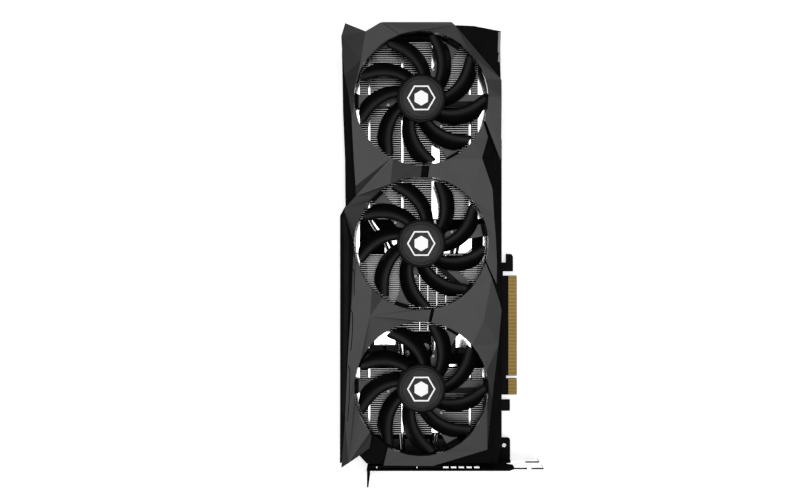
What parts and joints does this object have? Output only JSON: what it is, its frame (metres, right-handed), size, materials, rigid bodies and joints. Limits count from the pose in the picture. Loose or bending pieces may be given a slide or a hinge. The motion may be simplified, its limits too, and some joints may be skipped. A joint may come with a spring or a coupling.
{
  "type": "graphics card",
  "caption": "Long two-slot-bracket computer graphics card with a faceted shroud, axial fans, finned heatsink, backplate and edge connector.",
  "frame": {"origin": "on the backplate's outer face, straight below the middle fan's axis", "axes": "+Z out of the fan side, +Y from the I/O bracket to the tail, +X to the edge connector"},
  "size_m": [0.1409, 0.3152, 0.046],
  "materials": {
    "black_metal": "satin black coating",
    "board": "black solder mask",
    "gold": "gold plating",
    "chip": "moulded chip resin",
    "silicon": "polished silicon",
    "ferrite": "pressed ferrite",
    "steel": "bright plated steel",
    "socket_plastic": "black nylon",
    "nickel": "nickel plating",
    "fins": "nickel-plated fin stock",
    "frame_plastic": "satin black moulding",
    "cover_plastic": "dark grey moulding",
    "fan_plastic": "satin black moulding",
    "arm_plastic": "dark grey moulding",
    "brass": "turned brass"
  },
  "bodies": {
    "card": {"backplate": "black_metal", "io_bracket": "black_metal", "memory_plate": "black_metal", "circuit_board": "board", "contacts_front_long": "gold", "contacts_front_short": "gold", "contacts_rear_long": "gold", "contacts_rear_short": "gold", "processor_package": "chip", "memory_chip_1": "chip", "memory_chip_2": "chip", "memory_chip_3": "chip", "memory_chip_4": "chip", "memory_chip_5": "chip", "memory_chip_6": "chip", "processor_die": "silicon", "choke_1": "ferrite", "choke_2": "ferrite", "choke_3": "ferrite", "choke_4": "ferrite", "display_socket_1": "steel", "display_socket_2": "steel", "display_socket_3": "steel", "hdmi_socket": "steel", "cooler_screw_1": "steel", "cooler_screw_2": "steel", "cooler_screw_3": "steel", "cooler_screw_4": "steel", "power_socket_1": "socket_plastic", "power_socket_2": "socket_plastic", "cold_plate": "nickel", "heat_pipe_1": "nickel", "heat_pipe_2": "nickel", "heat_pipe_3": "nickel", "heat_pipe_4": "nickel", "fin_stack_tail": "fins", "fin_stack_middle": "fins", "fin_stack_bracket": "fins", "shroud_frame": "frame_plastic", "cover_left": "cover_plastic", "cover_upper_right": "cover_plastic", "cover_middle_right": "cover_plastic", "cover_lower_right": "cover_plastic", "fan_tail_frame": "arm_plastic", "fan_tail_bearing": "brass", "fan_tail_motor": "ferrite", "fan_middle_frame": "arm_plastic", "fan_middle_bearing": "brass", "fan_middle_motor": "ferrite", "fan_bracket_frame": "arm_plastic", "fan_bracket_bearing": "brass", "fan_bracket_motor": "ferrite"},
    "fan_tail": {"fan_tail_rotor": "fan_plastic", "fan_tail_shaft": "steel"},
    "fan_middle": {"fan_middle_rotor": "fan_plastic", "fan_middle_shaft": "steel"},
    "fan_bracket": {"fan_bracket_rotor": "fan_plastic", "fan_bracket_shaft": "steel"}
  },
  "joints": [
    {"name": "fan_tail_spin", "type": "hinge", "parent": "card", "child": "fan_tail", "pos_m": [0, 0.098, 0.04], "axis": [0, 0, 1], "continuous": true},
    {"name": "fan_middle_spin", "type": "hinge", "parent": "card", "child": "fan_middle", "pos_m": [0, 0, 0.04], "axis": [0, 0, 1], "continuous": true},
    {"name": "fan_bracket_spin", "type": "hinge", "parent": "card", "child": "fan_bracket", "pos_m": [0, -0.098, 0.04], "axis": [0, 0, 1], "continuous": true}
  ]
}
